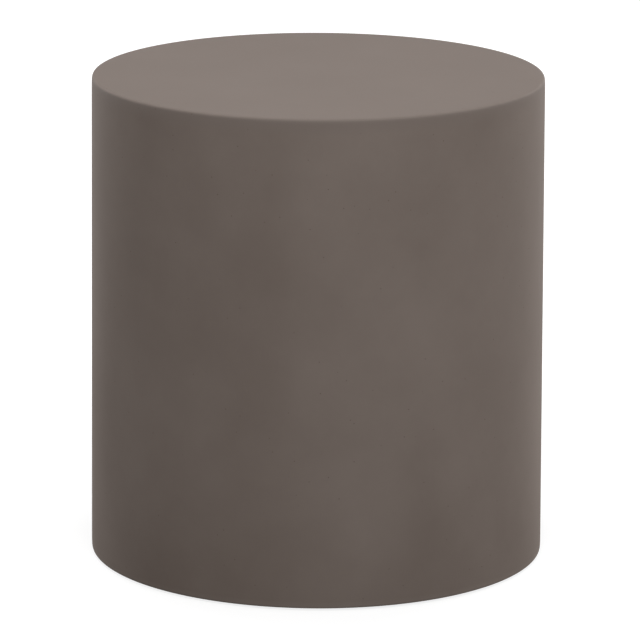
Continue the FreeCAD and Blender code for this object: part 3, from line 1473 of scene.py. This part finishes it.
    def set_out(self) -> list[bpy.types.Object]:
        """Models each piece once, dresses it, and sets a copy at every foot.

        Returns:
            The placed pieces.
        """
        models = (
            (self.turn_socket(), TurnedBrass(), "brass_socket", "threaded_socket", "drum", Slot.BRASS),
            (self.cut_stud(), ZincPlatedSteel(), "steel_stud", "levelling_stud", "stud_{}", Slot.STEEL),
            (self.turn_base(), MouldedNylon(), "nylon_base", "glide_base", "foot_{}", Slot.NYLON),
            (self.press_sole(), SoleRubber(), "rubber_sole", "sole_pad", "foot_{}", Slot.RUBBER),
        )
        placed = []
        for model, finish, name, node, body, slot in models:
            model.data.materials.append(finish.make())
            self.keep_lathe_place(model.data)
            for number in range(1, self.feet + 1):
                piece = model.copy()
                piece.data = model.data.copy()
                piece.name = piece.data.name = f"{name}_{number}"
                turn = Matrix.Rotation(math.tau * (number - 1) / self.feet, 4, "Z")
                piece.data.transform(turn @ Matrix.Translation(self.socket.axis))
                bpy.context.scene.collection.objects.link(piece)
                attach(piece, body.format(number))
                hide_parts(f"{node}_{number}")
                placed.append(piece)
            bpy.data.objects.remove(model)
        return placed

    def keep_lathe_place(self, mesh: bpy.types.Mesh) -> None:
        """Stores each point's place about the piece's own axis, for finishes that follow the lathe.

        Args:
            mesh: the piece's mesh, not yet moved from that axis.
        """
        places = [0.0] * (3 * len(mesh.vertices))
        mesh.vertices.foreach_get("co", places)
        mesh.attributes.new(LATHE, "FLOAT_VECTOR", "POINT").data.foreach_set("vector", places)


# Studio


@dataclass(frozen=True)
class Softbox:
    """A square soft light that faces a point."""

    name: str
    place: tuple[float, float, float]
    aim: tuple[float, float, float]
    side: float
    watts: float

    def hang(self) -> None:
        """Hangs the light in the studio."""
        lamp = bpy.data.lights.new(self.name, "AREA")
        lamp.shape = "SQUARE"
        lamp.size = self.side
        lamp.energy = self.watts
        holder = bpy.data.objects.new(self.name, lamp)
        holder.location = self.place
        towards = Vector(self.aim) - Vector(self.place)
        holder.rotation_euler = towards.to_track_quat("-Z", "Y").to_euler()
        bpy.context.scene.collection.objects.link(holder)


@dataclass
class Studio:
    """White floor and surroundings, soft lights, and the camera where the photograph was taken."""

    floor_side: float = 16.0
    floor_hex: str = "#6C6C6C"  # what the floor throws back at the object
    surround_hex: str = "#FFFFFF"
    floor_glow: float = 0.82  # what the eye sees of the floor by the object, before any light falls on it
    floor_answer: float = 0.22  # how strongly light and shadow then show on it
    floor_near: float = 0.25  # from here outwards the floor brightens
    floor_far: float = 0.75  # and from here on it is plain white
    lens_mm: float = 279.8
    sensor_mm: float = 36.0
    camera_place: tuple[float, float, float] = (0.0, -4.5897, 1.3636)
    camera_down_deg: float = 13.971
    camera_turn_deg: float = -0.0328
    camera_roll_deg: float = 0.302
    softboxes: tuple[Softbox, ...] = (
        Softbox("overhead", (0.0, 0.0, 2.6), (0.0, 0.0, 0.3), 2.4, 29.6),
        Softbox("front_high", (0.0, -3.0, 2.6), (0.0, 0.0, 0.3), 1.6, 97.7),
        Softbox("side_right", (3.0, 0.0, 1.0), (0.0, 0.0, 0.25), 1.6, 25.2),
        Softbox("back_right", (2.0, 2.2, 1.0), (0.0, 0.0, 0.25), 1.4, 49.4),
        Softbox("back_left", (-2.0, 2.2, 1.0), (0.0, 0.0, 0.25), 1.4, 46.2),
        Softbox("rim_left", (-2.6, 1.0, 0.8), (0.0, 0.0, 0.3), 0.8, 14.1),
        Softbox("rim_right", (2.6, 1.0, 0.35), (0.0, 0.0, 0.2), 0.6, 11.3),
    )

    def set_up(self) -> None:
        """Builds the whole studio."""
        self.lay_floor()
        self.surround()
        for softbox in self.softboxes:
            softbox.hang()
        self.place_camera()
        bpy.context.scene.view_settings.view_transform = "Standard"

    def seen_directly(self, tree: bpy.types.NodeTree) -> bpy.types.NodeSocket:
        """Tells rays that show a surface to the eye from those that light the object.

        Args:
            tree: the node tree that needs to know.

        Returns:
            A socket that is 1 for camera, glossy and transmission rays.
        """
        path = add_node(tree, "LightPath")
        seen = path.outputs["Is Camera Ray"]
        for kind in ("Is Glossy Ray", "Is Transmission Ray"):
            seen = add_node(tree, "Math", {0: seen, 1: path.outputs[kind]}, operation="MAXIMUM").outputs[0]
        return seen

    def lay_floor(self) -> None:
        """Lays a pale floor that looks white and still shows the object's shadow."""
        clear_bench()
        bpy.ops.mesh.primitive_plane_add(size=self.floor_side)
        floor = bpy.context.object
        floor.name = "studio_floor"
        material, tree = new_material("white_paper_sweep")
        paper = add_node(tree, "BsdfDiffuse", {"Color": linear(self.floor_hex)})
        place = add_node(tree, "TexCoord").outputs["Object"]
        away = add_node(tree, "VectorMath", {0: place}, operation="LENGTH")
        level = add_node(
            tree,
            "MapRange",
            {
                "Value": away.outputs["Value"],
                "From Min": self.floor_near,
                "From Max": self.floor_far,
                "To Min": self.floor_glow,
                "To Max": 1.0,
            },
        )
        glow = add_node(tree, "Emission", {"Color": linear(self.surround_hex), "Strength": level.outputs[0]})
        grey = self.floor_answer
        answer = add_node(tree, "BsdfDiffuse", {"Color": (grey, grey, grey, 1.0)})
        shown = add_node(tree, "AddShader", {0: glow.outputs[0], 1: answer.outputs[0]})
        mixed = add_node(
            tree,
            "MixShader",
            {0: self.seen_directly(tree), 1: paper.outputs[0], 2: shown.outputs[0]},
        )
        add_node(tree, "OutputMaterial", {"Surface": mixed.outputs[0]})
        floor.data.materials.append(material)

    def surround(self) -> None:
        """Makes the surroundings, which are white to the eye and leave the light to the softboxes."""
        world = bpy.data.worlds.new("white_studio")
        world.use_nodes = True
        bpy.context.scene.world = world
        tree = world.node_tree
        tree.nodes.clear()
        seen = self.seen_directly(tree)
        white = add_node(tree, "Background", {"Color": linear(self.surround_hex), "Strength": seen})
        add_node(tree, "OutputWorld", {"Surface": white.outputs[0]})

    def place_camera(self) -> None:
        """Stands the camera where the photograph was taken from."""
        camera = bpy.data.cameras.new("camera")
        camera.lens = self.lens_mm
        camera.sensor_width = self.sensor_mm
        holder = bpy.data.objects.new("camera", camera)
        bpy.context.scene.collection.objects.link(holder)
        turn = Matrix.Rotation(math.radians(self.camera_turn_deg), 4, "Z")
        tilt = Matrix.Rotation(math.radians(90 - self.camera_down_deg), 4, "X")
        roll = Matrix.Rotation(math.radians(self.camera_roll_deg), 4, "Z")
        holder.matrix_world = Matrix.Translation(self.camera_place) @ turn @ tilt @ roll
        bpy.context.scene.camera = holder


def main() -> None:
    """Builds the pieces in order, reports each one, and sets up the studio."""
    logging.basicConfig(level=logging.INFO, format="%(name)s: %(message)s")
    foot = LevellingFoot(
        socket=RoundNode.of("threaded_socket_1"),
        stud=RoundNode.of("levelling_stud_1"),
        base=RoundNode.of("glide_base_1"),
        sole=RoundNode.of("sole_pad_1"),
        feet=sum(node.startswith("threaded_socket_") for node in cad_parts),
    )
    low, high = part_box("drum_shell")
    drum = CastDrum(
        low=low,
        high=high,
        lug_bottom=foot.socket.bottom,
        foot_radius=foot.socket.axis.x,
        feet=foot.feet,
    )
    casting = drum.build(foot.pocket_cutter)
    drum.dress(casting)
    log.info("%s: %d faces", casting.name, len(casting.data.polygons))
    for piece in foot.set_out():
        log.info("%s: %d faces", piece.name, len(piece.data.polygons))
    Studio().set_up()


if __name__ == "__main__":
    main()
